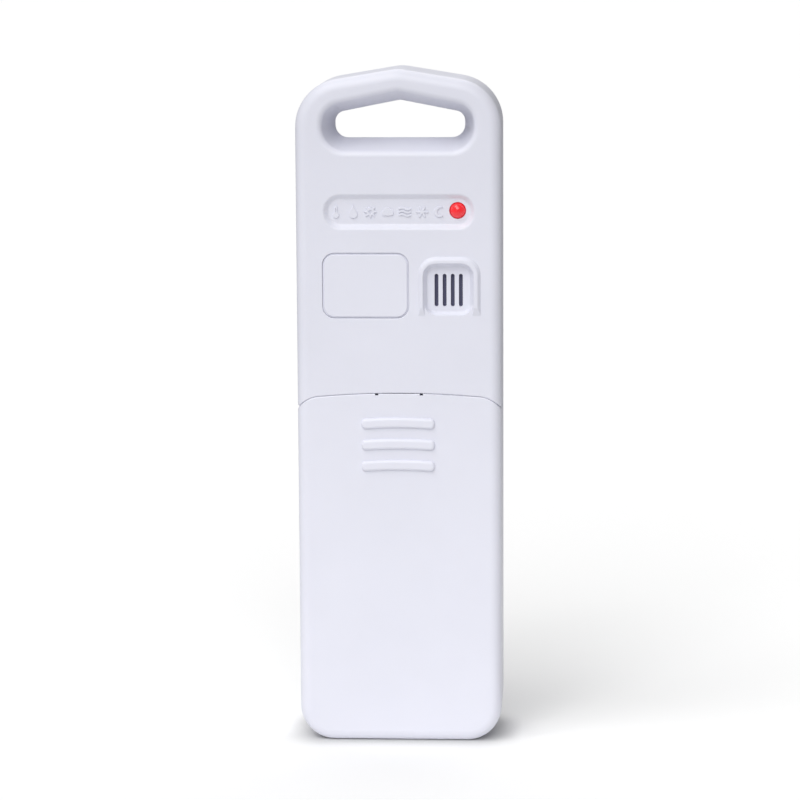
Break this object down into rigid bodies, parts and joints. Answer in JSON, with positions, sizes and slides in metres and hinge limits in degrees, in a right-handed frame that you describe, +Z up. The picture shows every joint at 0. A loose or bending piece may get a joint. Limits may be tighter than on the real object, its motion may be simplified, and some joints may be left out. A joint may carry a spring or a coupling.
{
  "type": "wireless outdoor temperature and humidity sensor",
  "caption": "Slim upright white outdoor sensor housing with a hang loop at the top, a status light, a slotted vent, a blank label and a sliding battery cover with finger ribs.",
  "frame": {"origin": "middle of the base, on the surface that the sensor stands on", "axes": "+X to the right seen from the front, +Y from the front face to the back, +Z up"},
  "size_m": [0.0394, 0.021, 0.131],
  "materials": {
    "case_white": "fine satin moulding",
    "cover_white": "fine satin moulding",
    "label_white": "smooth satin",
    "led_red": "tinted clear epoxy",
    "tinned_wire": "tinned",
    "filter_felt": "black felt",
    "board_green": "solder mask",
    "chip_black": "moulded epoxy",
    "can_metal": "drawn can",
    "aerial_copper": "enamelled copper",
    "capacitor_film": "printed film",
    "sensor_block": "white resin",
    "bead_epoxy": "epoxy bead",
    "switch_steel": "plated",
    "slider_black": "moulded",
    "tray_white": "fine satin moulding",
    "cell_steel": "plated can",
    "sleeve_film": "printed film",
    "contact_nickel": "nickel plated",
    "screw_zinc": "zinc plated"
  },
  "bodies": {
    "root": {"front_shell": "case_white", "rear_shell": "case_white", "label_plate": "label_white", "status_led": "led_red", "led_leads": "tinned_wire", "dust_filter": "filter_felt", "circuit_board": "board_green", "controller_chip": "chip_black", "crystal_can": "can_metal", "radio_resonator": "can_metal", "antenna_coil": "aerial_copper", "filter_capacitor": "capacitor_film", "humidity_sensor": "sensor_block", "temperature_bead": "bead_epoxy", "channel_switch_housing": "switch_steel", "battery_tray": "tray_white", "aa_cell_left": "cell_steel", "aa_cell_right": "cell_steel", "aa_sleeve_left": "sleeve_film", "aa_sleeve_right": "sleeve_film", "positive_contact_top": "contact_nickel", "positive_contact_bottom": "contact_nickel", "negative_spring_top": "contact_nickel", "negative_spring_bottom": "contact_nickel", "bridge_strip": "contact_nickel", "contact_tab_positive": "contact_nickel", "contact_tab_negative": "contact_nickel", "case_screws": "screw_zinc", "board_screws": "screw_zinc"},
    "battery_cover": {"battery_cover": "cover_white"},
    "channel_switch_slider": {"channel_switch_slider": "slider_black"}
  },
  "joints": [
    {"name": "cover_slide", "type": "slide", "parent": "root", "child": "battery_cover", "axis": [0, 0, -1], "range_m": [0, 0.0725]},
    {"name": "channel_slide", "type": "slide", "parent": "root", "child": "channel_switch_slider", "axis": [1, 0, 0], "range_m": [-0.002, 0.002]}
  ]
}
